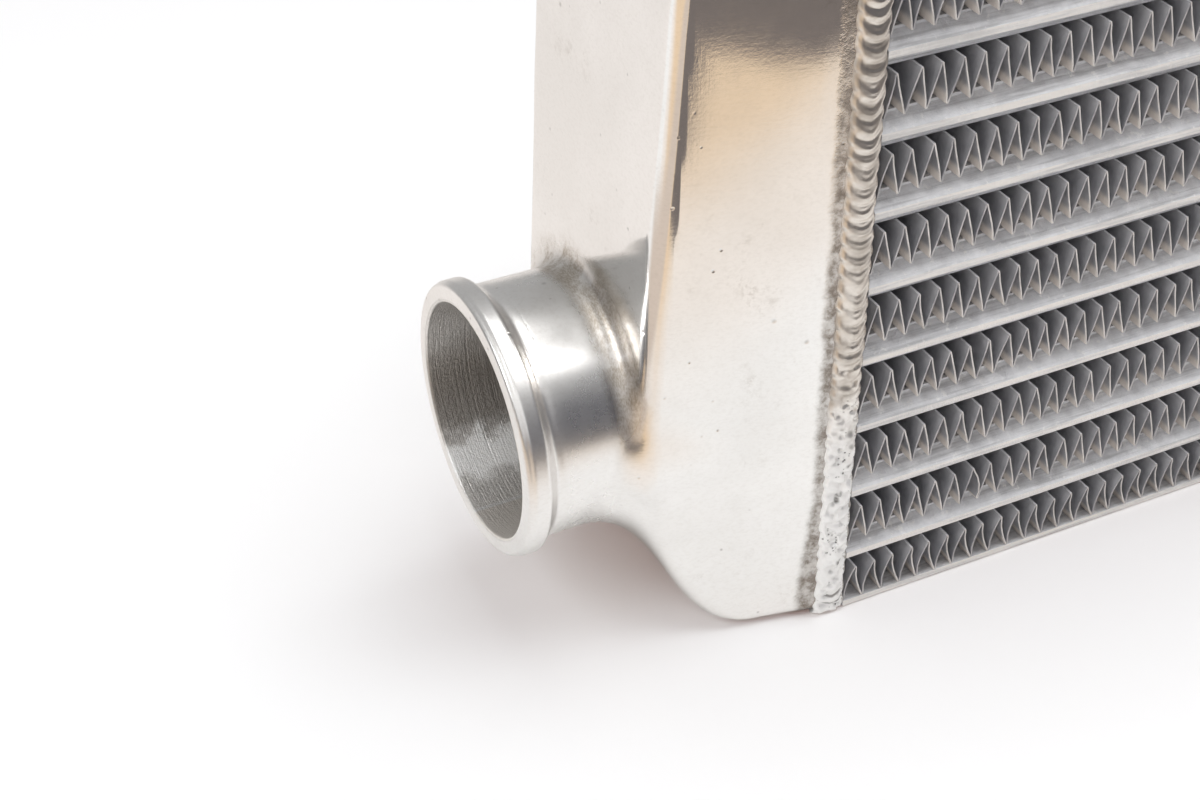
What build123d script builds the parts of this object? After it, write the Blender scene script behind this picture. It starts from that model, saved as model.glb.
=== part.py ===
"""Bar-and-plate intercooler with a cast end tank and hose spigot at each end.

Sizes are in millimetres. X runs along the core from tank to tank, Y through its
thickness and Z up. The origin is the middle of the underside.

Seen along Z the core is a stack: side plate, external fin, then charge channel and
external fin in turn, then side plate. A charge channel is two parting plates with
a bar along the front and rear edges and a turbulator between the bars.
"""
from build123d import *
import os
from math import cos, radians, sqrt, tan

# Core stack
channel_count = 10
fin_height = 9.8             # gap between two channels, filled by an external fin
fin_pitch = 5.0              # one full wave of the external fin
fin_wave_count = 38          # waves between the two header bars
fin_stock = 0.3
plate_stock = 0.6            # parting plate
side_plate_stock = 1.5
core_depth = 76.0

# Bars
bar_height = 6.8
bar_depth = 8.0
nose_height = 1.6            # blunt front of a channel bar
bevel_depth = 3.5            # from the blunt front back to the full bar height
header_bar_width = 4.0       # bar that closes an external row next to the tank

# Turbulators
turbulator_stock = 0.25
turbulator_wave_count = 5
turbulator_clearance = 0.3   # between its outer legs and the channel bars

# Weld between the core and a tank
weld_width = 7.0
weld_height = 2.0            # crown above the front, top and rear faces
weld_root = 1.5              # depth of the groove cut round the tank's edge

# Cast end tank; widths are measured outwards from the end of the fins
tank_wall = 3.5
tank_foot_width = 51.2       # where the leaning outer face would meet the underside
tank_lean = 3.3              # degrees, outer face to the vertical
tank_taper = 11.6            # degrees, front and rear faces to the core's faces
tank_edge_radius = 4.0
knee_angle = 52.0            # degrees, underside of the outer corner to the horizontal
knee_height = 27.0           # where that slope meets the outer face
knee_radius = 14.0
shoulder_radius = 8.0
top_corner_drop = 12.0       # sloped corner between the outer face and the top
top_corner_run = 9.0

# Hose spigot, part of the casting
spigot_height = 52.5         # axis above the underside
spigot_radius = 28.5
spigot_wall = 2.0
spigot_reach = 74.0          # mouth, measured outwards from the end of the fins
spigot_flare = 4.5           # sloped root between the tube and the tank
bead_height = 2.5            # crown of the bead above the tube
bead_width = 6.5
bead_slope = 1.8             # length of the sloped flanks either side of the bead's crown
bead_drop = 1.3              # how far those flanks fall

# Worked out from the sizes above
spigot_bore_radius = spigot_radius - spigot_wall
bead_radius = spigot_radius + bead_height
fin_length = fin_wave_count * fin_pitch
fin_end = fin_length / 2
core_length = fin_length + 2 * header_bar_width
channel_height = bar_height + 2 * plate_stock
row_pitch = fin_height + channel_height
row_count = channel_count + 1
core_height = row_count * fin_height + channel_count * channel_height + 2 * side_plate_stock
plate_depth = core_depth - 2 * bevel_depth
turbulator_width = core_depth - 2 * (bar_depth + turbulator_clearance)


def row_middle(index):
    """Height of the middle of external row `index`, counted from 0 at the bottom."""
    return side_plate_stock + fin_height / 2 + index * row_pitch


def channel_middle(index):
    """Height of the middle of charge channel `index`, counted from 0 at the bottom."""
    return row_middle(index) + row_pitch / 2


def folded_strip(width, height, stock, wave_count):
    """Section of a strip folded into `wave_count` V waves, `height` over its folds."""
    run = width / (2 * wave_count)
    steepness = (stock / run) ** 2
    # upright thickness of a leg, where the legs span `height` less one thickness
    upright = (
        sqrt((steepness * height) ** 2 + (1 - steepness) * (stock**2 + steepness * height**2))
        - steepness * height
    ) / (1 - steepness)
    upper, lower = [], []
    for fold in range(2 * wave_count + 1):
        along = fold * run - width / 2
        top = height / 2 if fold % 2 else upright - height / 2
        upper.append((along, top))
        lower.append((along, top - upright))
    return make_face(Polyline(*upper, *reversed(lower), close=True))


def external_fin():
    """Folded fin that the cooling air passes; its folds run from front to rear."""
    section = folded_strip(fin_length, fin_height, fin_stock, fin_wave_count)
    return extrude(Plane.XZ * section, amount=core_depth / 2, both=True)


def turbulator():
    """Folded strip inside a charge channel; its folds run from tank to tank."""
    section = folded_strip(turbulator_width, bar_height, turbulator_stock, turbulator_wave_count)
    return extrude(Plane.YZ * section, amount=core_length / 2, both=True)


def parting_plates():
    """The two sheets of a charge channel, which end where the bars' bevels start."""
    sheet = Box(core_length, plate_depth, plate_stock)
    lift = (bar_height + plate_stock) / 2
    return Compound([Pos(0, 0, lift) * sheet, Pos(0, 0, -lift) * sheet])


def channel_bars():
    """Front and rear bar of a charge channel, each with a bevelled nose between the welds."""
    face = core_depth / 2
    nose = make_face(
        Polyline(
            (-face, -nose_height / 2),
            (-face, nose_height / 2),
            (bevel_depth - face, bar_height / 2),
            (bevel_depth - face, -bar_height / 2),
            close=True,
        )
    )
    body_depth = bar_depth - bevel_depth
    body = Pos(0, bevel_depth + body_depth / 2 - face, 0) * Box(core_length, body_depth, bar_height)
    front = body + extrude(Plane.YZ * nose, amount=fin_end, both=True)
    return Compound([front, mirror(front, about=Plane.XZ)])


def header_bars():
    """Bars that close the external rows at the left end, one to a row."""
    bar = Box(header_bar_width, plate_depth, fin_height)
    middle = -(fin_end + header_bar_width / 2)
    return Compound([Pos(middle, 0, row_middle(row)) * bar for row in range(row_count)])


def side_plate(height):
    """Flat sheet that closes the stack, its middle at `height`."""
    return Pos(0, 0, height) * Box(fin_length, core_depth, side_plate_stock)


def weld_bead():
    """Weld metal round the left seam: a root in the groove and a crown on three sides.

    The underside is dressed flush, so that the core and the tanks share one flat face.
    """
    inner, outer = -fin_end, -(fin_end + weld_width)
    middle = (inner + outer) / 2
    face = core_depth / 2
    across = make_face(
        ThreePointArc((outer, -face), (middle, -face - weld_height), (inner, -face))
        + Line((inner, -face), (inner, face))
        + ThreePointArc((inner, face), (middle, face + weld_height), (outer, face))
        + Line((outer, face), (outer, -face))
    )
    upright = make_face(
        Polyline((outer, core_height), (outer, 0), (inner, 0), (inner, core_height))
        + ThreePointArc((inner, core_height), (middle, core_height + weld_height), (outer, core_height))
    )
    blank = extrude(across, amount=core_height + weld_height) & extrude(
        Plane.XZ * upright, amount=face + weld_height, both=True
    )
    seam = -(fin_end + header_bar_width)
    core_end = Box(
        header_bar_width,
        plate_depth,
        core_height - 2 * side_plate_stock,
        align=(Align.MIN, Align.CENTER, Align.CENTER),
    )
    tank_edge = Box(
        weld_width - header_bar_width,
        core_depth - 2 * weld_root,
        core_height - 2 * weld_root,
        align=(Align.MAX, Align.CENTER, Align.CENTER),
    )
    return blank - Pos(seam, 0, core_height / 2) * (core_end + tank_edge)


def tank_width(height):
    """Distance from the end of the fins out to the tank's outer face, at `height`."""
    return tank_foot_width - height * tan(radians(tank_lean))


def half_depth(width):
    """Half the tank's depth at a distance `width` out from the end of the fins."""
    return core_depth / 2 - (width - weld_width) * tan(radians(tank_taper))


def tank_plan(start, inset):
    """Tapered plan of the tank from `start` to past its outer face, set in by `inset`."""
    far_end = tank_foot_width + tank_wall + tank_edge_radius
    outline = make_face(
        Polyline(
            (-start, -half_depth(start)),
            (-far_end, -half_depth(far_end)),
            (-far_end, half_depth(far_end)),
            (-start, half_depth(start)),
            close=True,
        )
    )
    return offset(outline, -inset) if inset else outline


def tank_side(start, inset):
    """Side outline of the tank from `start` outwards, set in by `inset`."""
    knee = (tank_width(knee_height) - knee_height / tan(radians(knee_angle)), 0)
    shoulder = (tank_width(knee_height), knee_height)
    corner_height = core_height - top_corner_drop
    outline = make_face(
        Polyline(
            (-start, 0),
            (-knee[0], knee[1]),
            (-shoulder[0], shoulder[1]),
            (-tank_width(corner_height), corner_height),
            (top_corner_run - tank_width(core_height), core_height),
            (-start, core_height),
            close=True,
        )
    )
    for (out, up), radius in ((knee, knee_radius), (shoulder, shoulder_radius)):
        outline = fillet(outline.vertices().sort_by_distance((-out, up, 0))[0], radius)
    return offset(outline, -inset, kind=Kind.INTERSECTION) if inset else outline


def tank_form(inset=0.0):
    """Tank from the weld outwards, without its spigot; the wall as inset gives its cavity."""
    start = weld_width - inset
    plan = Pos(-fin_end, 0) * tank_plan(start, inset)
    side = Plane.XZ * (Pos(-fin_end, 0) * tank_side(start, inset))
    return extrude(plan, amount=core_height) & extrude(side, amount=core_depth, both=True)


def rounded_tank_form():
    """Outside of the tank from the weld outwards, with the cast edge radius all round."""
    form = tank_form()
    walls = [face for face in form.faces() if 0.5 < abs(face.normal_at().Y) < 0.999]
    seam = -(fin_end + weld_width)
    edges = [edge for wall in walls for edge in wall.edges() if abs(edge.center().X - seam) > 0.01]
    return fillet(edges, tank_edge_radius)


def land_block(half_width, inset):
    """Block inside the weld, from the seam out to the weld's toe, `inset` from the underside."""
    length = weld_width - header_bar_width
    block = Box(
        length,
        2 * half_width,
        core_height - 2 * inset,
        align=(Align.MAX, Align.CENTER, Align.MIN),
    )
    return Pos(-(fin_end + header_bar_width), 0, inset) * block


def spigot_tube():
    """Spigot turned about its own axis: the tube and the hose bead at its mouth."""
    inner_end = tank_width(core_height) - tank_wall
    tube = make_face(
        Polyline(
            (inner_end, 0),
            (inner_end, spigot_radius),
            (spigot_reach, spigot_radius),
            (spigot_reach, 0),
            close=True,
        )
    )
    bead_start = spigot_reach - bead_width
    bead = make_face(
        Polyline(
            (bead_start, 0),
            (bead_start, bead_radius - bead_drop),
            (bead_start + bead_slope, bead_radius),
            (spigot_reach - bead_slope, bead_radius),
            (spigot_reach, bead_radius - bead_drop),
            (spigot_reach, 0),
            close=True,
        )
    )
    return revolve(tube + bead, axis=Axis.X)


def end_tank():
    """Left end tank: one casting, open towards the core, with its hose spigot."""
    on_axis = Pos(-fin_end, 0, spigot_height) * Rot(0, 0, 180)
    outside = rounded_tank_form() + on_axis * spigot_tube()
    tube_faces = [
        face
        for face in outside.faces().filter_by(GeomType.CYLINDER)
        if abs(face.radius - spigot_radius) < 0.001
    ]
    bead_start = -(fin_end + spigot_reach - bead_width)
    tube_edges = [edge for face in tube_faces for edge in face.edges()]
    root = [
        edge
        for edge in tube_edges
        if edge.center().X > bead_start + 1 and tube_edges.count(edge) == 1
    ]
    outside = chamfer(root, spigot_flare) + land_block(core_depth / 2 - weld_root, weld_root)
    cavity_half_depth = core_depth / 2 - tank_wall / cos(radians(tank_taper))
    bore_start = tank_width(core_height) - tank_wall
    bore = Pos(bore_start, 0, 0) * Cylinder(
        spigot_bore_radius,
        spigot_reach - bore_start,
        rotation=(0, 90, 0),
        align=(Align.CENTER, Align.CENTER, Align.MIN),
    )
    hollow = outside - tank_form(tank_wall) - land_block(cavity_half_depth, tank_wall)
    return hollow - on_axis * bore


def parts():
    """Every node by name, from the bottom of the stack to the top."""
    nodes = {}
    for row in range(row_count):
        nodes[f"external_fin_{row + 1:02d}"] = Pos(0, 0, row_middle(row)) * external_fin()
    for channel in range(channel_count):
        place = Pos(0, 0, channel_middle(channel))
        nodes[f"channel_bars_{channel + 1:02d}"] = place * channel_bars()
        nodes[f"parting_plates_{channel + 1:02d}"] = place * parting_plates()
        nodes[f"turbulator_{channel + 1:02d}"] = place * turbulator()
    nodes["side_plate_bottom"] = side_plate(side_plate_stock / 2)
    nodes["side_plate_top"] = side_plate(core_height - side_plate_stock / 2)
    for name, piece in (
        ("end_tank", end_tank()),
        ("weld_bead", weld_bead()),
        ("header_bars", header_bars()),
    ):
        nodes[f"{name}_left"] = piece
        nodes[f"{name}_right"] = mirror(piece, about=Plane.YZ)
    return nodes


if __name__ == "__main__":
    os.makedirs("parts", exist_ok=True)
    for node, solid in parts().items():
        export_step(solid, f"parts/{node}.step")
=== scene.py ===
"""Looks of the intercooler: smooth cast tanks, folded fins, rippled welds, light and camera."""
import bpy
import math
import numpy as np
from mathutils import Matrix, Vector


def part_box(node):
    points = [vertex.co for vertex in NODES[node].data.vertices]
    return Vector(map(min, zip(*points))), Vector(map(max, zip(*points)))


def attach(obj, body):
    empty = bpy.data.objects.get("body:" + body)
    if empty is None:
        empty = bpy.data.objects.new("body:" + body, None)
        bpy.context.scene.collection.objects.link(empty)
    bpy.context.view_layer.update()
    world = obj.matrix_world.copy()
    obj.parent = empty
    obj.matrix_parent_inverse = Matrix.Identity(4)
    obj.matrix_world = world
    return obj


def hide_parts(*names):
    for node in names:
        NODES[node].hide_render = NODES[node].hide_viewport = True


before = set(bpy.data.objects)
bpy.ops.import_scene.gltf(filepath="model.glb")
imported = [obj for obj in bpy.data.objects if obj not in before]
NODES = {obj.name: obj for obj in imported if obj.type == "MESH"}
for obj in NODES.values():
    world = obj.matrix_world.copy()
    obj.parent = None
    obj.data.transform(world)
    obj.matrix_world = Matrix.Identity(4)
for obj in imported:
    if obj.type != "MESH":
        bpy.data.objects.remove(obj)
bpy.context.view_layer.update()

MM = 0.001

# ---------------------------------------------------------------- sizes in mm
# from the CAD frame
FIN_END = -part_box("external_fin_01")[0][0] / MM            # end of the fins
CORE_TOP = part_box("side_plate_top")[1][2] / MM
HALF_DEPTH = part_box("side_plate_top")[1][1] / MM
ROW_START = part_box("external_fin_01")[0][2] / MM           # foot of the lowest fin row
ROW_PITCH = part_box("external_fin_02")[0][2] / MM - ROW_START
REACH = -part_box("end_tank_left")[0][0] / MM - FIN_END      # mouth of the spigot
LAND_START = -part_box("end_tank_left")[1][0] / MM - FIN_END

# the same as in the CAD source
WELD_WIDTH = 7.0
WELD_PROUD = 2.0                 # how far the bead stands out of the core
WELD_ROOT = 1.5                  # how far it goes into it
WALL = 3.5
FOOT_WIDTH = 51.2                # the tank at its foot, from the fins' end outwards
LEAN = math.radians(3.3)         # the outer face narrows the tank upwards
TAPER = math.radians(11.6)       # the front and back faces close in outwards
KNEE_ANGLE = math.radians(52.0)  # slope below the spigot
KNEE_HEIGHT = 27.0
CORNER_DROP, CORNER_RUN = 12.0, 9.0
SPIGOT_HEIGHT = 52.5
SPIGOT_RADIUS = 28.5
BORE_RADIUS = 26.5
BEAD_RADIUS = 31.0

# roundings of the tank's edges
KNEE_ROUND, FOOT_ROUND, CORNER_ROUND, TOP_ROUND = 16, 5, 14, 7
FRONT_ROUND, BACK_ROUND, LEAST_ROUND = 3.8, 2.4, 1.2
RIM_ROUND = 0.45                 # where outside and inside meet
ROUND_DEPTH = 14                 # this far in, the cavity's edges are nearly sharp

# the turned ring that makes the spigot's mouth
RING_START = REACH - 10.0
RING_LAP = 1.5                   # it runs this far back over the net
RING_GAP = 0.4                   # the net is this much thinner below it
RING_SINK = 0.3                  # the ring's ends dip this far into the net
RING_SECTIONS = 288
LIP_ROUND = 0.95

NET_STEP = 1.1                   # cell of the tank's surface net
SKIN = 0.12                      # the form is set in by this, so that it stays in the CAD's box
DENT = 0.16                      # height of the casting's unevenness


# ---------------------------------------------------------------- helpers
def smooth(a, b, x):
    """0 below a, 1 above b."""
    t = np.clip((x - a) / (b - a), 0, 1)
    return t * t * (3 - 2 * t)


def round_max(a, b, r):
    """Intersection of two solids with a rounded edge of about radius r."""
    return np.minimum(np.maximum(a, b), -r) + np.hypot(np.maximum(a + r, 0), np.maximum(b + r, 0))


def blend_min(a, b, k):
    """Union of two solids with a concave blend about k wide."""
    h = np.maximum(k - np.abs(a - b), 0) / k
    return np.minimum(a, b) - h * h * k / 4


def srgb(r, g, b):
    """Linear colour of an 8-bit screen colour."""
    return tuple(((c / 255 + 0.055) / 1.055) ** 2.4 if c > 10 else c / 255 / 12.92
                 for c in (r, g, b))


class Noise:
    """Seeded smooth value noise in 1 to 3 dimensions."""

    def __init__(self, seed, size=32):
        self.size = size
        self.grid = np.random.default_rng(seed).uniform(-1, 1, (size,) * 3)

    def __call__(self, x, y=0.0, z=0.0):
        x, y, z = np.broadcast_arrays(*(np.asarray(v, float) for v in (x, y, z)))
        cells = [np.floor(v).astype(int) for v in (x, y, z)]
        frac = [v - np.floor(v) for v in (x, y, z)]
        frac = [f * f * (3 - 2 * f) for f in frac]
        total = 0
        for corner in range(8):
            bits = [(corner >> k) & 1 for k in range(3)]
            weight = 1
            for f, b in zip(frac, bits):
                weight = weight * (f if b else 1 - f)
            index = tuple((c + b) % self.size for c, b in zip(cells, bits))
            total = total + weight * self.grid[index]
        return total


dent_noise = Noise(11)
weld_noise = Noise(5)


# ---------------------------------------------------------------- end tank as a distance field
def tank_width(height):
    return FOOT_WIDTH - height * math.tan(LEAN)


def tank_planes(u, y, z, inset):
    """Distance to the tank's outer form set in by `inset`; u runs outwards from the fins' end."""
    depth = np.abs(y) - HALF_DEPTH + (u - WELD_WIDTH) * math.tan(TAPER)
    depth = depth * math.cos(TAPER) + inset
    outer = (u - FOOT_WIDTH + z * math.tan(LEAN)) * math.cos(LEAN) + inset
    knee_u = tank_width(KNEE_HEIGHT) - KNEE_HEIGHT / math.tan(KNEE_ANGLE)
    knee = (u - knee_u) * math.sin(KNEE_ANGLE) - z * math.cos(KNEE_ANGLE) + inset
    bottom = -z + inset
    top = z - CORE_TOP + inset
    corner_z = CORE_TOP - CORNER_DROP
    corner_u = tank_width(corner_z)
    run = corner_u - (tank_width(CORE_TOP) - CORNER_RUN)
    corner = (u - corner_u) * CORNER_DROP + (z - corner_z) * run
    corner = corner / math.hypot(run, CORNER_DROP) + inset
    shrink = max(0.0, 1 - inset / ROUND_DEPTH)
    side = outer
    for plane, radius in ((knee, KNEE_ROUND), (bottom, FOOT_ROUND),
                          (corner, CORNER_ROUND), (top, TOP_ROUND)):
        side = round_max(side, plane, radius * shrink + 1)
    edge = np.where(y > 0, BACK_ROUND, FRONT_ROUND)
    return round_max(side, depth, np.maximum(edge - inset, LEAST_ROUND))


def spigot_profile(s):
    """Outer radius of the spigot, s behind its mouth: bead, shallow groove, then the plain tube."""
    rise = 0.62 + 0.38 * smooth(-0.5, 2.0, s)
    fall = 1 - smooth(4.5, 7.6, s)
    groove = 0.10 * np.exp(-((s - 7.9) / 0.9) ** 2)
    return SPIGOT_RADIUS + (BEAD_RADIUS - SPIGOT_RADIUS) * rise * fall - groove


def tank_field(u, y, z):
    """Signed distance, in mm, to the whole casting."""
    wobble = dent_noise(u / 17 + 3.1, y / 17, z / 23) * DENT
    body = tank_planes(u, y, z, SKIN) + wobble * smooth(8, 14, u)
    body = np.maximum(body, WELD_WIDTH - 0.4 - u)
    radial = np.hypot(y, z - SPIGOT_HEIGHT)
    hidden = RING_GAP * smooth(RING_START + 0.4, RING_START + 2.0, u)
    tube = radial - SPIGOT_RADIUS + hidden
    blend = 15 - 10.5 * smooth(34, 62, z)                  # a wide fillet below, a tight one above
    outside = blend_min(body, np.maximum(tube, 18 - u), blend)
    outside = np.maximum(outside, -z + 0.05)
    land_y = np.abs(y) - HALF_DEPTH + WELD_ROOT
    land_z = np.abs(z - CORE_TOP / 2) - CORE_TOP / 2 + WELD_ROOT
    land = np.maximum(np.maximum(land_y, land_z), u - WELD_WIDTH - 3)
    outside = np.minimum(outside, land)
    outside = np.maximum(outside, u - RING_START - 3)
    outside = np.maximum(outside, LAND_START - u)
    cavity = tank_planes(u, y, z, WALL)
    bore = radial - BORE_RADIUS - hidden
    bore = np.maximum(bore, 20 - u)
    inside = blend_min(cavity, bore, 3.0)
    return round_max(outside, -inside, RIM_ROUND)


def surface_net(field, low, high, step):
    """Quad mesh of the zero surface of field(u, y, z) inside a box, pulled onto the surface."""
    axes = [np.arange(a, b + step, step) for a, b in zip(low, high)]
    value = field(*np.meshgrid(*axes, indexing="ij"))
    inside = value < 0
    shape = np.array(value.shape) - 1
    corners = [(i, j, k) for i in (0, 1) for j in (0, 1) for k in (0, 1)]

    def corner(a, c):
        return a[c[0]:c[0] + shape[0], c[1]:c[1] + shape[1], c[2]:c[2] + shape[2]]

    # one point a cell, at the mean of the crossings on the cell's edges
    count = sum(corner(inside, c).astype(int) for c in corners)
    active = (count > 0) & (count < 8)
    total = np.zeros(tuple(shape) + (3,))
    hits = np.zeros(tuple(shape))
    for a in corners:
        for axis in range(3):
            if a[axis]:
                continue
            b = tuple(1 if n == axis else a[n] for n in range(3))
            va, vb = corner(value, a), corner(value, b)
            cross = ((va < 0) != (vb < 0)) & active
            t = np.where(cross, va / np.where(cross, va - vb, 1), 0)
            for n in range(3):
                total[..., n] += np.where(cross, a[n] + (t if n == axis else 0), 0)
            hits += cross
    index = -np.ones(tuple(shape), int)
    where = np.argwhere(active)
    index[active] = np.arange(len(where))
    points = (where + total[active] / hits[active][:, None]) * step + np.array(low)

    # one quad for each grid edge that crosses the surface
    quads = []
    for axis in range(3):
        o1, o2 = [n for n in range(3) if n != axis]
        if axis == 1:
            o1, o2 = o2, o1
        a = [slice(1, -1)] * 3
        a[axis] = slice(0, -1)
        b = list(a)
        b[axis] = slice(1, None)
        va, vb = inside[tuple(a)], inside[tuple(b)]
        for flip, mask in ((False, va & ~vb), (True, ~va & vb)):
            cell = np.argwhere(mask) + np.array([0 if n == axis else 1 for n in range(3)])
            ring = []
            for d1, d2 in ((0, 0), (-1, 0), (-1, -1), (0, -1)):
                c = cell.copy()
                c[:, o1] += d1
                c[:, o2] += d2
                ring.append(index[tuple(c.T)])
            ring = np.stack(ring, 1)
            quads.append(ring[:, ::-1] if flip else ring)
    quads = np.concatenate(quads)
    quads = quads[(quads >= 0).all(1)]

    def slope(p, e=0.02):
        return np.stack([(field(*(p + d).T) - field(*(p - d).T)) / (2 * e)
                         for d in np.eye(3) * e], 1)

    for _ in range(3):
        g = slope(points)
        move = -field(*points.T)[:, None] * g / np.maximum((g * g).sum(1), 0.05)[:, None]
        length = np.linalg.norm(move, axis=1)[:, None]
        points = points + move * np.minimum(1, 0.35 * step / np.maximum(length, 1e-9))
    g = slope(points, 0.15)
    return points, quads, g / np.linalg.norm(g, axis=1)[:, None]


def ring_faces(sections, n):
    """Quads of a closed ring of sections, each a closed loop of n points."""
    a = np.arange(sections * n).reshape(sections, n)
    b = np.roll(a, -1, 0)
    return np.stack([a, b, np.roll(b, -1, 1), np.roll(a, -1, 1)], -1).reshape(-1, 4)


def mesh_object(name, points, faces, materials, normals=None, face_slot=None):
    """Smooth-shaded mesh object from arrays in mm that rides on the root body."""
    mesh = bpy.data.meshes.new(name)
    faces = np.asarray(faces)
    starts = np.arange(0, faces.size, faces.shape[1], dtype=np.int32)
    mesh.vertices.add(len(points))
    mesh.vertices.foreach_set("co", (np.asarray(points) * MM).astype(np.float32).ravel())
    mesh.loops.add(faces.size)
    mesh.loops.foreach_set("vertex_index", faces.ravel().astype(np.int32))
    mesh.polygons.add(len(faces))
    mesh.polygons.foreach_set("loop_start", starts)
    mesh.polygons.foreach_set("use_smooth", np.full(len(faces), True))
    for m in materials:
        mesh.materials.append(m)
    if face_slot is not None:
        mesh.polygons.foreach_set("material_index", np.asarray(face_slot, np.int32))
    mesh.update(calc_edges=True)
    mesh.validate()
    if normals is not None:
        mesh.normals_split_custom_set_from_vertices([tuple(n) for n in normals])
    obj = bpy.data.objects.new(name, mesh)
    bpy.context.scene.collection.objects.link(obj)
    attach(obj, "root")
    return obj


# ---------------------------------------------------------------- materials
class Graph:
    """Small helper for building the nodes of a material or a world."""

    def __init__(self, owner, coords="Object"):
        owner.use_nodes = True
        self.owner = owner
        self.nodes = owner.node_tree.nodes
        self.links = owner.node_tree.links
        self.coords = self.nodes.new("ShaderNodeTexCoord").outputs[coords]

    def put(self, socket, value):
        if isinstance(value, bpy.types.NodeSocket):
            self.links.new(value, socket)
        else:
            socket.default_value = value

    def set(self, **values):
        """Set or link sockets of the surface shader."""
        for key, value in values.items():
            self.put(self.nodes["Principled BSDF"].inputs[key.replace("_", " ")], value)

    def mapped(self, scale, rotation=(0, 0, 0)):
        node = self.nodes.new("ShaderNodeMapping")
        node.inputs["Scale"].default_value = scale
        node.inputs["Rotation"].default_value = rotation
        self.links.new(self.coords, node.inputs["Vector"])
        return node.outputs["Vector"]

    def noise(self, scale, detail=3.0, rough=0.5, vector=None):
        node = self.nodes.new("ShaderNodeTexNoise")
        for key, value in (("Scale", scale), ("Detail", detail), ("Roughness", rough)):
            node.inputs[key].default_value = value
        self.links.new(vector if vector is not None else self.coords, node.inputs["Vector"])
        return node.outputs["Fac"]

    def streaks(self, scale, rotation, detail, rough):
        """Noise drawn out along the axes whose scale is small."""
        return self.noise(1.0, detail, rough, self.mapped(scale, rotation))

    def around_zero(self, noise, width):
        """A noise moved to the middle and scaled to a width."""
        return self.mul(self.sub(noise, 0.5), width)

    def spots(self, scale, low, high):
        """Round spots at scattered points: 1 in their middle."""
        node = self.nodes.new("ShaderNodeTexVoronoi")
        node.feature = "F1"
        node.inputs["Scale"].default_value = scale
        self.links.new(self.coords, node.inputs["Vector"])
        return self.ramp(node.outputs["Distance"], low, high, 1.0, 0.0)

    def ramp(self, value, low, high, out_low=0.0, out_high=1.0):
        node = self.nodes.new("ShaderNodeMapRange")
        node.interpolation_type = "SMOOTHSTEP"
        limits = {"From Min": low, "From Max": high, "To Min": out_low, "To Max": out_high}
        for key, limit in limits.items():
            node.inputs[key].default_value = limit
        self.put(node.inputs["Value"], value)
        return node.outputs["Result"]

    def rise(self, length, low, high):
        """A length's step from 0 to 1 between two limits in mm."""
        return self.ramp(length, low * MM, high * MM)

    def fall(self, length, low, high):
        """A length's step from 1 to 0 between two limits in mm."""
        return self.ramp(length, low * MM, high * MM, 1.0, 0.0)

    def math(self, kind, a, b=0.0):
        node = self.nodes.new("ShaderNodeMath")
        node.operation = kind
        self.put(node.inputs[0], a)
        self.put(node.inputs[1], b)
        return node.outputs[0]

    def add(self, a, b):
        return self.math("ADD", a, b)

    def sub(self, a, b):
        return self.math("SUBTRACT", a, b)

    def mul(self, a, b):
        return self.math("MULTIPLY", a, b)

    def most(self, a, b):
        return self.math("MAXIMUM", a, b)

    def size(self, a):
        return self.math("ABSOLUTE", a)

    def hypot(self, a, b):
        squares = [self.math("POWER", v, 2.0) for v in (a, b)]
        return self.math("SQRT", self.add(*squares))

    def mix(self, factor, a, b):
        """a where the factor is 0, b where it is 1; either can be a plain colour."""
        node = self.nodes.new("ShaderNodeMix")
        node.data_type = "RGBA"
        self.put(node.inputs["Factor"], factor)
        for socket, v in zip((s for s in node.inputs if s.type == "RGBA"), (a, b)):
            self.put(socket, v if isinstance(v, bpy.types.NodeSocket) else (*v, 1))
        return [s for s in node.outputs if s.type == "RGBA"][0]

    def split(self, vector=None):
        """The x, y and z of a vector, or of the place itself."""
        node = self.nodes.new("ShaderNodeSeparateXYZ")
        self.links.new(vector if vector is not None else self.coords, node.inputs["Vector"])
        return node.outputs

    def facing(self):
        """The x, y and z of the surface's direction."""
        return self.split(self.nodes.new("ShaderNodeNewGeometry").outputs["Normal"])

    def bump(self, height, distance, strength, normal=None):
        node = self.nodes.new("ShaderNodeBump")
        node.inputs["Strength"].default_value = strength
        node.inputs["Distance"].default_value = distance
        self.links.new(height, node.inputs["Height"])
        if normal is not None:
            self.links.new(normal, node.inputs["Normal"])
        return node.outputs["Normal"]


def material_graph(name):
    return Graph(bpy.data.materials.new(name))


def tank_place(g):
    """The place in an end tank or its weld: x outwards from the fins' end, then y and z."""
    x, y, z = g.split()
    return g.sub(g.size(x), FIN_END * MM), y, z


# linear base colours of the castings
CAST_CLEAN, CAST_DULL = (0.885, 0.872, 0.857), (0.825, 0.81, 0.79)
CAST_GRAIN, CAST_GRIME, CAST_PIT = (0.62, 0.585, 0.545), (0.42, 0.37, 0.32), (0.25, 0.22, 0.20)
BAND_STAIN, ROOT_STAIN = (0.25, 0.218, 0.19), (0.42, 0.365, 0.30)
# in the bore, a band of painted shade and a bright streak of painted highlight
BORE_CLEAN, BORE_SHADE, BORE_GRAIN = (0.93, 0.91, 0.885), (0.37, 0.34, 0.31), (0.56, 0.53, 0.49)
BORE_HIGHLIGHT, BORE_FLOOR, BORE_SEAM = (0.99, 0.985, 0.97), (0.88, 0.84, 0.79), (0.97, 0.965, 0.95)


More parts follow.
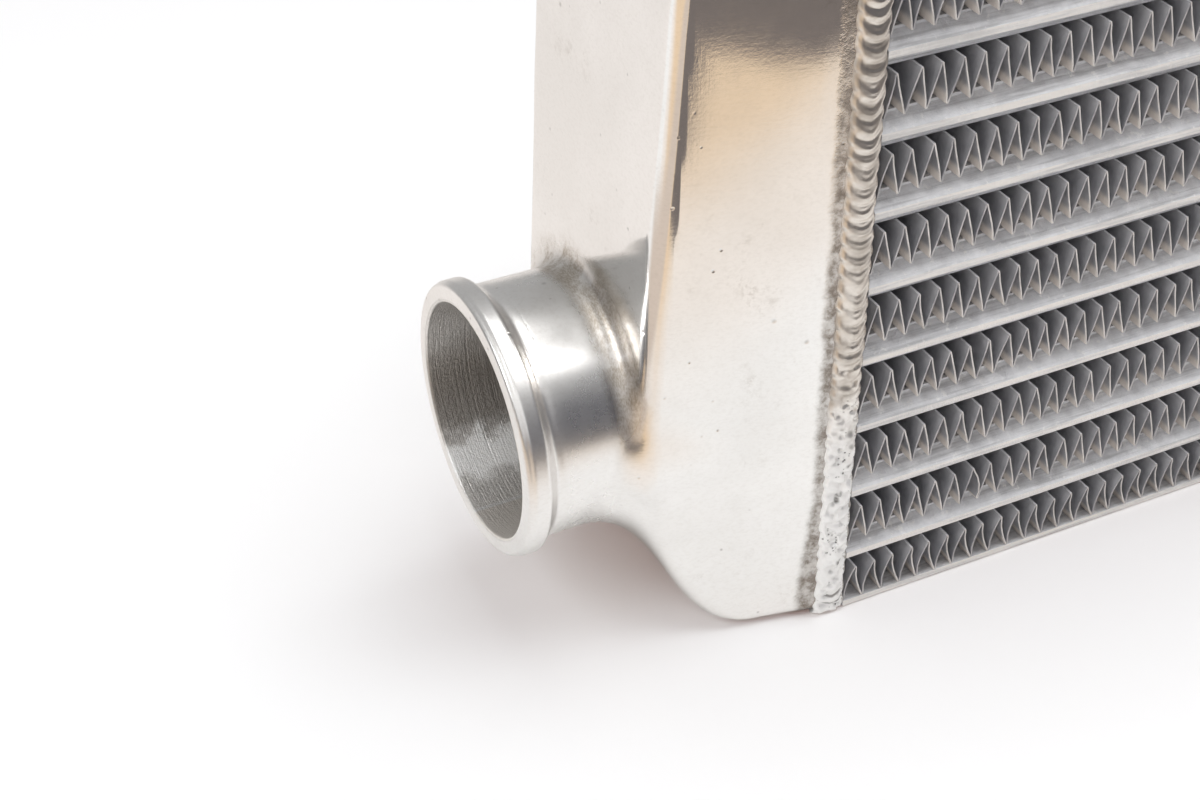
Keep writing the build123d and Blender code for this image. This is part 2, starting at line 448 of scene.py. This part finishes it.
def tank_material():
    """Linished casting: smooth metal, fine scratches, a few pits, stains, and a sand-cast bore with
    a band of painted shade and a painted highlight.
    """
    g = material_graph("cast_aluminium")
    out, y, z = tank_place(g)
    blotch = g.noise(26, 4, 0.6)
    fine = g.noise(240, 4, 0.7)
    grain = g.noise(1400, 3, 0.7)
    brush = g.streaks((90, 90, 1500), (0.25, 0.12, 0), 4, 0.65)
    brush_across = g.streaks((1500, 1500, 110), (0.1, 0.35, 0.2), 3, 0.6)
    large_pits = g.mul(g.spots(75, 0.0, 0.065), g.ramp(g.noise(60, 2), 0.37, 0.51))
    small_pits = g.mul(g.spots(190, 0.0, 0.10), g.ramp(g.noise(33, 3), 0.46, 0.58))
    pits = g.most(large_pits, small_pits)
    above_axis = g.sub(z, SPIGOT_HEIGHT * MM)
    radial = g.hypot(y, above_axis)                        # distance from the spigot's axis

    # clean metal with a faint grain and grime in patches
    colour = g.mix(g.ramp(blotch, 0.35, 0.68), CAST_CLEAN, CAST_DULL)
    speck = g.streaks((900, 900, 1500), (0.3, 0.5, 0), 4, 0.75)
    colour = g.mix(g.ramp(speck, 0.42, 0.72, 0.0, 0.22), colour, CAST_GRAIN)
    grime = g.mul(g.ramp(g.noise(38, 5, 0.75), 0.55, 0.78),
                  g.ramp(g.noise(520, 3, 0.8), 0.45, 0.6))
    colour = g.mix(g.mul(grime, 0.5), colour, CAST_GRIME)

    # speckled band beside the weld, a little wider at the foot
    wander = g.around_zero(g.noise(230, 5, 0.75), 3.0 * MM)
    spread = g.sub(g.add(out, wander), g.ramp(z, 0.0, 40 * MM, 2.2 * MM, 0.0))
    band = g.fall(spread, 8.6, 10.8)
    speckle = g.mul(band, g.ramp(fine, 0.36, 0.62, 0.45, 1.0))
    fade = g.ramp(z, 110 * MM, 150 * MM, 1.0, 0.7)
    colour = g.mix(g.mul(speckle, fade), colour, BAND_STAIN)

    # scratched stain on the upper side of the spigot's root, kept off the front face
    root = g.mul(g.fall(g.add(radial, wander), 30.0, 37.5),
                 g.mul(g.rise(out, 40.5, 44.5), g.fall(out, 50.5, 54.5)))
    root = g.mul(root, g.mul(g.rise(z, 44, 60), g.rise(y, -30.5, -26.5)))
    mottled = g.mul(root, g.ramp(g.noise(110, 5, 0.7), 0.38, 0.58, 0.25, 1.0))
    scratch = g.streaks((5200, 1300, 1300), (0, 0.4, 0.3), 3, 0.7)
    scratched = g.mul(mottled, g.ramp(scratch, 0.38, 0.62, 0.55, 1.0))
    colour = g.mix(scratched, colour, ROOT_STAIN)
    colour = g.mix(g.mul(pits, 0.55), colour, CAST_PIT)

    # inside of the spigot: a band of painted shade, a streak of painted highlight beside it, and a
    # seam at the bottom
    inside = g.mul(g.fall(radial, BORE_RADIUS + 0.3, BORE_RADIUS + 0.9), g.rise(out, 36, 40))
    around = g.add(g.math("ARCTAN2", above_axis, y), g.around_zero(g.noise(160, 4, 0.7), 0.5))
    # painted shade: a dark band on the back wall of the bore, set by the angle round its axis
    bore_shade = g.mul(g.ramp(around, -0.85, -0.62), g.ramp(around, -0.30, 0.35, 1.0, 0.25))
    # painted highlight: a bright streak below it, where light falls into the bore
    streak = g.mul(g.ramp(around, -1.22, -1.10), g.ramp(around, -0.86, -0.74, 1.0, 0.0))
    seam_y = 1.8
    below = g.mul(g.fall(y, seam_y - 0.4, seam_y), g.fall(z, 34, 38))
    seam = g.fall(g.size(g.sub(y, seam_y * MM)), 0.3, 0.7)
    # the bore's colour: painted shade, grain, painted highlight, then the floor and the seam
    bore = g.mix(bore_shade, BORE_CLEAN, BORE_SHADE)
    bore = g.mix(g.ramp(grain, 0.42, 0.62, 0.0, 0.3), bore, BORE_GRAIN)
    bore = g.mix(g.mul(streak, g.ramp(grain, 0.35, 0.6, 0.6, 1.0)), bore, BORE_HIGHLIGHT)
    bore = g.mix(below, bore, BORE_FLOOR)
    bore = g.mix(g.mul(seam, g.fall(z, 28, 31)), bore, BORE_SEAM)
    bare = g.sub(1.0, g.mul(inside, g.add(0.25, g.mul(streak, 0.5))))
    g.set(Base_Color=g.mix(inside, colour, bore), Metallic=bare)

    # polished on the faces, turned and duller on the tube, rough in the bore
    tube = g.mul(g.fall(radial, 30, 36), g.rise(out, 46, 54))
    rough = g.add(g.ramp(blotch, 0.3, 0.7, 0.05, 0.09), g.ramp(fine, 0.3, 0.8, 0.0, 0.03))
    rough = g.add(rough, g.mul(tube, g.ramp(out, 62 * MM, 67 * MM, 0.20, 0.27)))
    rough = g.most(rough, g.mul(root, 0.42))
    rough = g.most(rough, g.mul(inside, g.ramp(streak, 0.0, 1.0, 0.34, 0.24)))
    g.set(Roughness=g.add(rough, g.mul(speckle, 0.2)))

    turned = g.streaks((1700, 60, 60), (0, 0, 0), 3, 0.7)
    normal = None
    for height, distance, strength in (
            (brush, 0.005, 0.6), (brush_across, 0.006, 0.5), (grain, 0.008, 0.6),
            (g.mul(turned, inside), 0.18, 0.9), (g.mul(grain, inside), 0.2, 0.8),
            (g.mul(scratch, mottled), 0.012, 0.6), (g.mul(fine, band), 0.13, 0.8),
            (g.sub(1.0, pits), 0.1, 0.7)):
        normal = g.bump(height, distance * MM, strength, normal)
    g.set(Normal=normal)
    return g.owner


# linear base colours of the weld
WELD_CLEAN, WELD_DULL, WELD_LOW = (0.79, 0.745, 0.69), (0.54, 0.495, 0.445), (0.97, 0.96, 0.945)
# the last of these is painted shade for the grooves of the end ripples
WELD_PIT, WELD_EDGE, WELD_GROOVE_SHADE = (0.08, 0.07, 0.06), (0.24, 0.20, 0.165), (0.17, 0.155, 0.14)
# the two deep ripples where the bead ends, in mm: height above the foot, half width of the painted
# shade line in the groove, half width of the groove, depth of the groove
END_RIPPLES = ((5.4, 0.55, 0.45, 0.30), (2.9, 0.4, 0.35, 0.24))
RIPPLE_BOW = 1.8                 # they are this much lower at the bead's edges


def weld_material():
    """As-welded bead: fine grained metal above, whiter and pitted towards the bottom."""
    g = material_graph("weld_aluminium")
    out, _, z = tank_place(g)
    grain = g.noise(1100, 5, 0.7)
    blotch = g.noise(140, 3, 0.6)
    low = g.fall(g.add(z, g.mul(blotch, 20 * MM)), 50, 80)
    half = WELD_WIDTH / 2 * MM
    off_middle = g.size(g.math("DIVIDE", g.sub(out, half), half))
    middle = g.ramp(off_middle, 0.25, 0.75, 1.0, 0.0)
    large_pits = g.mul(g.spots(290, 0.10, 0.34), g.ramp(blotch, 0.40, 0.50))
    small_pits = g.mul(g.spots(900, 0.10, 0.28), g.ramp(g.noise(200, 3), 0.5, 0.62))
    pits = g.mul(g.most(g.mul(large_pits, middle), small_pits), low)
    colour = g.mix(g.ramp(blotch, 0.35, 0.7), WELD_CLEAN, WELD_DULL)
    colour = g.mix(g.mul(low, 0.9), colour, WELD_LOW)
    colour = g.mix(g.mul(pits, 0.85), colour, WELD_PIT)

    # dark ragged edge on the core's side
    ragged = g.add(out, g.around_zero(g.noise(700, 4, 0.8), 3.0 * MM))
    edge = g.mul(g.fall(ragged, 0.4, 1.1), g.ramp(grain, 0.35, 0.55, 0.35, 1.0))
    faded = g.mul(edge, g.ramp(z, 100 * MM, 160 * MM, 0.8, 0.3))
    colour = g.mix(faded, colour, WELD_EDGE)

    # two deep ripples near the foot, their grooves darkened with painted shade
    bowed = g.sub(z, g.mul(g.math("POWER", off_middle, 2.0), RIPPLE_BOW * MM))
    for height, wide, _, _ in END_RIPPLES:
        groove_shade = g.ramp(g.size(g.sub(bowed, height * MM)), 0.1 * MM, wide * MM, 0.8, 0.0)
        groove_shade = g.mul(groove_shade, g.ramp(off_middle, 0.45, 0.85, 1.0, 0.0))
        colour = g.mix(groove_shade, colour, WELD_GROOVE_SHADE)

    rough = g.add(g.ramp(blotch, 0.3, 0.7, 0.28, 0.42), g.mul(low, 0.06))
    g.set(Metallic=g.ramp(low, 0.0, 1.0, 1.0, 0.35), Base_Color=colour, Roughness=rough)
    normal = g.bump(grain, 0.08 * MM, 0.7)
    g.set(Normal=g.bump(g.sub(1.0, pits), 0.3 * MM, 0.9, normal))
    return g.owner


# screen colours of the core: clean, dull, then the marks and the tones of painted light
BAR_TONES = [srgb(*c) for c in ((234, 234, 236), (206, 206, 209), (162, 161, 162),
                                (248, 246, 243), (250, 244, 237))]
FIN_TONES = [srgb(*c) for c in ((196, 195, 198), (168, 168, 172), (222, 221, 222),
                                (238, 227, 216))]


def bar_material():
    """Brazed bars and plates: matt light grey, streaked, with flux specks and a painted warm
    highlight on the front edge.
    """
    g = material_graph("bar_aluminium")
    clean, dull, drawn, flux, painted_light = BAR_TONES
    depth = g.size(g.split()["Y"])
    grain = g.noise(1500, 4, 0.75)
    streak = g.streaks((35, 700, 700), (0, 0, 0), 4, 0.65)
    colour = g.mix(g.ramp(g.noise(70, 5, 0.7), 0.3, 0.7), clean, dull)
    colour = g.mix(g.ramp(streak, 0.44, 0.70, 0.0, 0.7), colour, drawn)
    colour = g.mix(g.mul(g.ramp(g.noise(420, 3, 0.7), 0.58, 0.70), 0.5), colour, flux)
    # painted highlight: the front-facing nose of the bars is made bright and warm
    nose_highlight = g.mul(g.ramp(g.size(g.facing()["Y"]), 0.9, 0.98),
                 g.rise(depth, HALF_DEPTH - 0.5, HALF_DEPTH - 0.3))
    colour = g.mix(g.mul(nose_highlight, g.ramp(streak, 0.35, 0.6, 0.95, 0.45)), colour, painted_light)
    g.set(Metallic=0.12, Base_Color=colour, Roughness=g.ramp(grain, 0.2, 0.8, 0.40, 0.60))
    fine = g.bump(grain, 0.12 * MM, 0.7)
    g.set(Normal=g.bump(g.noise(700, 4, 0.7), 0.4 * MM, 0.8, fine))
    return g.owner


def fin_material():
    """Brazed fin sheet: blue-grey, matt; a painted highlight on the upward-facing upper flanks, and
    painted warm light on the inner feet.
    """
    g = material_graph("fin_aluminium")
    clean, dull, crest_highlight, painted_light = FIN_TONES
    _, y, z = g.split()
    grain = g.noise(1300, 4, 0.65)
    colour = g.mix(g.ramp(g.noise(150, 3, 0.6), 0.3, 0.7), clean, dull)
    row = g.math("FRACT", g.math("DIVIDE", g.sub(z, ROW_START * MM), ROW_PITCH * MM))
    up = g.facing()["Z"]
    front = g.rise(g.size(y), HALF_DEPTH - 9, HALF_DEPTH - 2.5)
    # painted highlight: paler on the upper part of the row where the sheet faces up
    crest = g.mul(g.ramp(row, 0.36, 0.53), g.ramp(up, 0.0, 0.1))
    colour = g.mix(g.mul(crest, 0.6), colour, crest_highlight)
    # painted light: bright and warm on the low, downward-facing faces near the front, where light
    # bounces up from the bars
    painted_foot_light = g.mul(g.ramp(row, 0.09, 0.22, 1.0, 0.0), g.ramp(up, -0.1, 0.0, 1.0, 0.0))
    painted_foot_light = g.mul(painted_foot_light, front)
    colour = g.mix(g.mul(painted_foot_light, 0.8), colour, painted_light)
    g.set(Metallic=g.ramp(painted_foot_light, 0.0, 1.0, 0.45, 0.1), Base_Color=colour)
    g.set(Roughness=g.ramp(grain, 0.2, 0.8, 0.38, 0.6), Normal=g.bump(grain, 0.08 * MM, 0.6))
    return g.owner


def edge_material(name, light, dark):
    """Cut edge of the fin sheet: paler and warmer than its faces."""
    g = material_graph(name)
    blotch = g.noise(300, 3, 0.6)
    tone = g.mix(g.ramp(blotch, 0.3, 0.7), srgb(*light), srgb(*dark))
    g.set(Metallic=0.3, Base_Color=tone, Roughness=g.ramp(blotch, 0.3, 0.7, 0.35, 0.5))
    return g.owner


TANK, WELD, BAR, FIN = (f() for f in (tank_material, weld_material, bar_material, fin_material))
EDGE = edge_material("fin_cut_edge", (226, 221, 216), (203, 198, 193))
# a darker copy of the cut edge, for the edges of the rising legs
RISING_EDGE = edge_material("fin_rising_edge", (200, 196, 194), (168, 166, 168))

for name, obj in NODES.items():
    material = (TANK if name.startswith("end_tank") else WELD if name.startswith("weld_bead")
                else FIN if name.startswith(("external_fin", "turbulator")) else BAR)
    obj.data.materials.clear()
    obj.data.materials.append(material)


# ---------------------------------------------------------------- tanks
def mouth_ring():
    """The bead and lip turned round the spigot's axis, in the surface net's form."""
    start = RING_START - RING_LAP
    s = np.concatenate([np.linspace(REACH - start, 3.0, 26), np.linspace(2.7, LIP_ROUND, 9)])
    lifted = RING_SINK * (1 - smooth(REACH - RING_START, REACH - start, s))
    outer = np.stack([REACH - s, spigot_profile(s) - RING_SINK + lifted], 1)
    turn = np.radians(np.linspace(0, 90, 7))[1:]
    sin, cos = np.sin(turn), np.cos(turn)
    rim = outer[-1, 1] - LIP_ROUND
    round_out = np.stack([REACH - LIP_ROUND + LIP_ROUND * sin, rim + LIP_ROUND * cos], 1)
    flat = [[REACH, BORE_RADIUS + RIM_ROUND]]
    round_in = np.stack([REACH - RIM_ROUND + RIM_ROUND * cos,
                         BORE_RADIUS + RIM_ROUND - RIM_ROUND * sin], 1)
    back = np.linspace(REACH - 1.5, start, 12)
    widened = RING_SINK * (1 - smooth(start, RING_START, back))
    inner = np.stack([back, BORE_RADIUS + widened], 1)
    profile = np.concatenate([outer, round_out, flat, round_in, inner])
    tangent = np.roll(profile, -1, 0) - np.roll(profile, 1, 0)
    tangent[0], tangent[-1] = profile[1] - profile[0], profile[-1] - profile[-2]
    tangent /= np.linalg.norm(tangent, axis=1)[:, None]
    angle = np.linspace(0, 2 * math.pi, RING_SECTIONS, endpoint=False)[:, None]

    def revolve(along, radius, height):
        axes = along, radius * np.cos(angle), height + radius * np.sin(angle)
        return np.stack(np.broadcast_arrays(*axes), -1).reshape(-1, 3)

    return (revolve(profile[:, 0], profile[:, 1], SPIGOT_HEIGHT),
            ring_faces(RING_SECTIONS, len(profile)),
            revolve(-tangent[:, 1], tangent[:, 0], 0))


points, quads, normals = surface_net(
    tank_field, (LAND_START - 0.55, -HALF_DEPTH - 1.3, -1.35),
    (RING_START + 4, HALF_DEPTH + 1.3, CORE_TOP + 1.5), NET_STEP)
ring_points, ring_quads, ring_normals = mouth_ring()
quads = np.concatenate([quads, ring_quads + len(points)])
points = np.concatenate([points, ring_points])
normals = np.concatenate([normals, ring_normals])
for side, sign in (("left", -1), ("right", 1)):
    place = points.copy()
    place[:, 0] = sign * (FIN_END + points[:, 0])
    faces = quads if sign > 0 else quads[:, ::-1]
    tank = mesh_object(f"tank_{side}", place, faces, [TANK], normals * np.array([sign, 1, 1]))
    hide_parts(f"end_tank_{side}")


# ---------------------------------------------------------------- external fins
FOLD_PITCH = 5.0                 # about one fold and back, evened out over the row
SHEET = 0.34                     # thickness of the sheet
BEND_RUN = 0.26                  # half the width of a bend
END_STEP = 25                    # from the strip's cut edges to its inner sections
FIN_SEED = 700
X_JITTER, Z_JITTER, BOW_JITTER = 0.14, 0.05, 0.13
CREST_SHIFT = 0.12               # the crests lean a little to the right
ROW_BOW = {1: -0.6}              # the lowest row's folds are bowed as a whole
FOLD_BOW = {(2, 13): 1.0}        # one fold is bent


def fin_mesh(row, node):
    """One folded strip with uneven folds: points, faces and which faces are cut edges."""
    rng = np.random.default_rng(FIN_SEED + row)
    (x0, y0, z0), (x1, y1, z1) = ([v / MM for v in corner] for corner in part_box(node))
    waves = round((x1 - x0) / FOLD_PITCH)
    pitch = (x1 - x0) / waves
    half = SHEET / 2 + 0.01
    line = []                    # x and height of each bend, and the bow of the sheet after it
    for k in range(2 * waves + 1):
        up = k % 2 == 1
        x = x0 + k * pitch / 2
        if 0 < k < 2 * waves:
            x += rng.normal(0, X_JITTER) + (CREST_SHIFT if up else 0)
        short = abs(rng.normal(0, Z_JITTER))
        z = z1 - half - short if up else z0 + half + short
        bow = rng.normal(0, BOW_JITTER) + ROW_BOW.get(row, 0.0)
        line.append((x, z, FOLD_BOW.get((row, k), bow)))
    path = []
    for k, (x, z, bow) in enumerate(line):
        s = -1 if k % 2 == 1 else 1
        if k == 0:
            path.append((x + half, z))
        elif k == 2 * waves:
            path.append((x - half, z))
        else:
            for a, b in ((-1, 0.62), (-0.45, 0.1), (0.45, 0.1), (1, 0.62)):
                path.append((x + a * BEND_RUN, z + s * b))
        if k < 2 * waves:
            xn, zn, _ = line[k + 1]
            for t in (0.3, 0.55, 0.8):
                bend = bow * math.sin(math.pi * t)
                path.append((x + (xn - x) * t + bend, z + (zn - z) * t))
    path = np.array(path)
    path[:, 0] = np.clip(path[:, 0], x0 + half, x1 - half)
    tangent = np.gradient(path, axis=0)
    tangent /= np.linalg.norm(tangent, axis=1)[:, None]
    offset = np.stack([-tangent[:, 1], tangent[:, 0]], 1) * SHEET / 2
    rows = []                    # upper and lower side at each section, from front to back
    for y in (y0, y0 + END_STEP, y1 - END_STEP, y1):
        for way in (1, -1):
            p = path + offset * way
            p[:, 1] = np.clip(p[:, 1], z0 + 0.005, z1 - 0.005)
            rows.append(np.stack([p[:, 0], np.full(len(p), y), p[:, 1]], 1))
    n = len(path)
    i = np.arange(n - 1)

    def strip(first, second):
        a, b = first * n + i, second * n + i
        return np.stack([a, a + 1, b + 1, b], 1)

    faces = []
    for top in (0, 2, 4):
        faces += [strip(top, top + 2)[:, ::-1], strip(top + 1, top + 3)]
    faces += [strip(0, 1), strip(6, 7)[:, ::-1]]
    for e in (0, n - 1):
        quads = [[(top + r) * n + e for r in (0, 1, 3, 2)] for top in (0, 2, 4)]
        faces.append(np.array(quads)[:, ::1 if e == 0 else -1])
    rising = (np.diff(path[:, 1]) > 0.5).astype(int) + 1   # which edge material a cut face has
    slots = np.concatenate([np.zeros(6 * (n - 1), int), rising, rising, np.zeros(6, int)])
    return np.concatenate(rows), np.concatenate(faces), slots


for name in sorted(n for n in NODES if n.startswith("external_fin")):
    row = int(name[-2:])
    pts, faces, slots = fin_mesh(row, name)
    fin = mesh_object(f"fin_row_{row:02d}", pts, faces, [FIN, EDGE, RISING_EDGE], face_slot=slots)
    fin.data.set_sharp_from_angle(angle=math.radians(50))
    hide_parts(name)


# ---------------------------------------------------------------- welds
WELD_CORNER = 1.6                # radius of the ring's corners
WELD_STEP = 0.3                  # between sections along the bead
RIPPLE = 3.9                     # length of one ripple


def weld_line():
    """The core's outline, closed: y, z, and the direction outwards, from the top at the front."""
    c, y, z = WELD_CORNER, HALF_DEPTH, CORE_TOP
    line = []

    def straight(a, b, out):
        n = max(2, int(math.dist(a, b) / WELD_STEP))
        for k in range(n):
            t = k / n
            line.append((a[0] + (b[0] - a[0]) * t, a[1] + (b[1] - a[1]) * t, *out))

    def bend(cy, cz, start):
        for k in range(8):
            a = math.radians(start + 90 * k / 8)
            cos, sin = math.cos(a), math.sin(a)
            line.append((cy + c * cos, cz + c * sin, cos, sin))

    straight((-y, z - c), (-y, c), (-1, 0))
    bend(-y + c, c, 180)
    straight((-y + c, 0), (y - c, 0), (0, -1))
    bend(y - c, c, 270)
    straight((y, c), (y, z - c), (1, 0))
    bend(y - c, z - c, 0)
    straight((y - c, z), (-y + c, z), (0, 1))
    bend(-y + c, z - c, 90)
    return np.array(line)


def ripple_shape(phase):
    """Rise and steep fall of each ripple, 0 to 1."""
    return np.sin(math.pi * (phase - np.floor(phase)) ** 1.7) ** 0.9


def weld_mesh(sign):
    """Ring of overlapping crescents round the core's end, flush on the underside."""
    line = weld_line()
    y, z, out_y, out_z = (line[:, k][:, None] for k in range(4))
    s = np.concatenate([[0], np.cumsum(np.hypot(*np.diff(line[:, :2], axis=0).T))])
    across = np.sin(np.linspace(-math.pi / 2, math.pi / 2, 25))
    S, T = np.meshgrid(s, across, indexing="ij")           # along the bead, and across it -1 to 1
    rough = 1 - smooth(45, 85, z)                          # the lower part is lumpy and pitted
    warp = (weld_noise(S / 8, 3.3, T * 0.8 + 7) * 1.3
            + weld_noise(S / 3.1, 1.3, T * 0.5 + 2) * 0.5)
    phase = (S + warp - 3.1 * (1 - T ** 2)) / RIPPLE
    lobe = ripple_shape(phase) * (0.75 + 0.25 * weld_noise(np.floor(phase) * 1.7, 0.4, 2.2))
    crest = np.sqrt(np.maximum(1 - np.abs(T) ** 3.4, 0))
    fine = np.sin(2 * np.pi * (S + warp - RIPPLE * (1 - T ** 2)) / 1.25) * 0.055 * (1 - 0.7 * rough)
    pits = (weld_noise(S / 1.4, T * 3.5, 4.0) * 0.2
            + weld_noise(S / 0.7, T * 6, 9.0) * 0.10) * rough
    holes = smooth(0.35, 0.7, weld_noise(S / 1.2, T * 3.2, 12.0)) * (1 - T ** 2)
    pits = pits - 0.70 * rough * holes
    lumps = (weld_noise(S / 3.4, T * 1.4, 6.0) * 0.40
             + weld_noise(S / 1.5, T * 2.4, 2.0) * 0.30) * rough
    bowed = z - RIPPLE_BOW * T ** 2
    for height, _, wide, deep in END_RIPPLES:
        lumps = lumps - deep * np.exp(-((bowed - height) / wide) ** 2)
    tall = 1.10 - 0.2 * rough + 0.60 * lobe * (1 - 0.2 * rough) + lumps
    tall = (tall + weld_noise(S / 14, 9.0, T) * 0.12 + fine + pits) * crest
    tall = np.clip(tall, 0.0, WELD_PROUD - 0.01) - 0.5 * smooth(0.80, 1.0, T)
    tall = tall * (1 - smooth(0.2, 0.95, -out_z))          # flush on the underside
    scallop = 1 - ripple_shape((S + warp) / RIPPLE)
    bitten = 0.30 * np.abs(weld_noise(S / 6, 1.0 + np.sign(T), 8))
    half = WELD_WIDTH / 2
    u = half + T * (half - 0.02 - bitten - 0.35 * scallop) + 0.9 * smooth(0.2, 1.0, T)
    outer = np.stack([u, y + out_y * tall, np.maximum(z + out_z * tall, 0.0)], -1)
    deep = WELD_ROOT - 0.1
    root = np.stack(np.broadcast_arrays(half + 0.97 * across[::-12] * half,
                                        y - out_y * deep, z - out_z * deep), -1)
    loop = np.concatenate([outer, root], 1)
    faces = ring_faces(*loop.shape[:2])
    pts = loop.reshape(-1, 3)
    pts[:, 0] = sign * (FIN_END + pts[:, 0])
    return pts, faces[:, ::-1] if sign < 0 else faces


for side, sign in (("left", -1), ("right", 1)):
    pts, faces = weld_mesh(sign)
    weld = mesh_object(f"weld_{side}", pts, faces, [WELD])
    weld.data.set_sharp_from_angle(angle=math.radians(60))
    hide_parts(f"weld_bead_{side}")


# ---------------------------------------------------------------- stage
FLOOR_DROP = 0.0003              # m, the floor lies this far below the part
FLOOR_HALF = 6.0                 # m
# linear colours of the floor: for the camera, for the light it throws, then for reflections
FLOOR_SEEN, FLOOR_LIGHT = (0.845, 0.905, 0.925), (0.90, 0.892, 0.885)
FLOOR_TAN, FLOOR_SAND = (0.74, 0.575, 0.405), (0.83, 0.775, 0.725)
FLOOR_PALE, FLOOR_WHITE = (0.875, 0.868, 0.858), (0.97, 0.965, 0.955)
FLOOR_BEHIND = (0.85, 0.81, 0.78)
FLOOR_DARK, FLOOR_BRONZE = (0.165, 0.142, 0.132), (0.60, 0.51, 0.44)
GLOW_NEAR, GLOW_FAR = (1.0, 0.32, 0.14), (1.0, 1.0, 1.0)


def floor_material():
    """White table with a warm shadow.

    What the part's polished faces reflect of it is toned as the photographer's room was: sand and
    tan towards the front, then dark, and a bronze patch to the left.
    """
    g = material_graph("floor")
    rays = g.nodes.new("ShaderNodeLightPath").outputs
    camera, glossy = rays["Is Camera Ray"], rays["Is Glossy Ray"]
    x, y, _ = g.split()
    wave = g.around_zero(g.noise(14, 2), 0.05)
    beside = g.most(g.mul(g.add(x, 0.045 + FIN_END * MM), 0.9), -0.11)
    along = g.add(g.add(y, wave), beside)
    tone = g.mix(g.rise(along, -280, -150), FLOOR_TAN, FLOOR_SAND)
    tone = g.mix(g.rise(along, -165, -95), tone, FLOOR_PALE)
    tone = g.mix(g.mul(g.rise(along, -95, -45), g.rise(x, -220, -180)), tone, FLOOR_WHITE)
    tone = g.mix(g.rise(along, -40, 30), tone, FLOOR_BEHIND)
    past = g.mul(g.add(x, (FIN_END + 8) * MM), 3.2)
    past = g.most(g.math("MINIMUM", past, 0.0), -0.115)
    reach = g.add(g.add(y, g.mul(wave, 0.5)), past)
    tone = g.mix(g.mul(g.fall(reach, -327, -317), g.rise(x, -262, -238)), tone, FLOOR_DARK)
    bronze = g.mul(g.mul(g.fall(x, -275, -245), g.rise(x, -420, -340)), g.fall(y, 0, 100))
    tone = g.mix(bronze, tone, FLOOR_BRONZE)
    base = g.mix(camera, g.mix(glossy, FLOOR_LIGHT, tone), FLOOR_SEEN)
    g.set(Base_Color=base, Roughness=0.9, Specular_IOR_Level=0.1)

    # a glow that grows with the distance turns the far floor white and warms the shadow
    away = g.hypot(x, y)
    glow = g.mix(g.ramp(away, 0.35, 1.1), GLOW_NEAR, GLOW_FAR)
    shown = g.most(g.most(camera, rays["Is Transmission Ray"]), glossy)
    power = g.mul(g.ramp(away, 0.45, 2.2, 0.10, 0.78), g.sub(1.0, g.mul(glossy, 0.8)))
    g.set(Emission_Color=g.mix(glossy, glow, tone), Emission_Strength=g.mul(shown, power))
    return g.owner


floor_mesh = bpy.data.meshes.new("floor")
floor_mesh.from_pydata([(FLOOR_HALF * i, FLOOR_HALF * j, 0)
                        for i, j in ((-1, -1), (1, -1), (1, 1), (-1, 1))], [], [(0, 1, 2, 3)])
floor_mesh.materials.append(floor_material())
floor = bpy.data.objects.new("floor", floor_mesh)
bpy.context.scene.collection.objects.link(floor)
floor.location = (0, 0, -FLOOR_DROP)

# ---------------------------------------------------------------- light
LAMP_TARGET = Vector((-0.12, 0, 0.08))
# name, direction from the target, distance in m, side in m, power in W
LAMPS = (("top", (0.33, -0.05, 0.94), 1.6, 1.45, 19.5),
         ("left", (-0.74, -0.15, 0.66), 1.4, 0.5, 6.5),
         ("front", (-0.35, -0.75, 0.55), 1.6, 1.2, 3.6))
ROOM_LIGHT, ROOM_DARK, BACKDROP = (0.42, 0.42, 0.42), (0.12, 0.12, 0.135), (1, 1, 1)

for name, direction, distance, side, power in LAMPS:
    data = bpy.data.lights.new(name, "AREA")
    data.shape = "RECTANGLE"
    data.size = data.size_y = side
    data.energy = power
    lamp = bpy.data.objects.new(name, data)
    way = Vector(direction).normalized()
    lamp.location = LAMP_TARGET + way * distance
    lamp.rotation_mode = "QUATERNION"
    lamp.rotation_quaternion = way.to_track_quat("Z", "Y")
    bpy.context.scene.collection.objects.link(lamp)

# the room: white to the camera; as a light it is grey, darker low in front and far to the left
world = bpy.data.worlds.new("studio")
bpy.context.scene.world = world
g = Graph(world, "Generated")
x, y, z = g.split()
front = g.mul(g.ramp(y, -0.15, -0.55), g.ramp(z, 0.85, 0.35))
left = g.mul(g.ramp(x, -0.66, -0.74), g.ramp(z, -0.02, 0.08))
room = g.mix(g.most(front, g.mul(left, 0.95)), ROOM_LIGHT, ROOM_DARK)
rays = g.nodes.new("ShaderNodeLightPath").outputs
shown = g.most(rays["Is Camera Ray"], rays["Is Transmission Ray"])
g.put(g.nodes["Background"].inputs["Color"], g.mix(shown, room, BACKDROP))
g.put(g.nodes["Background"].inputs["Strength"], 1.0)

# ---------------------------------------------------------------- camera, at the photograph's angle
CAMERA_PLACE = (-FIN_END - 196.2, -324.2, 311.3)           # mm
CAMERA_RIGHT = Vector((0.9016, -0.4326, -0.0092))
CAMERA_UP = Vector((0.2626, 0.5304, 0.806))
CAMERA_AHEAD = Vector((0.3439, 0.7291, -0.5918))

camera_data = bpy.data.cameras.new("camera")
camera_data.lens = 59.82
camera_data.sensor_width = 36.0
camera_data.clip_start = 0.01
camera = bpy.data.objects.new("camera", camera_data)
bpy.context.scene.collection.objects.link(camera)
stand = Matrix((CAMERA_RIGHT, CAMERA_UP, -CAMERA_AHEAD)).transposed().to_4x4()
stand.translation = Vector(CAMERA_PLACE) * MM
camera.matrix_world = stand
bpy.context.scene.camera = camera

bpy.context.scene.view_settings.view_transform = "Standard"
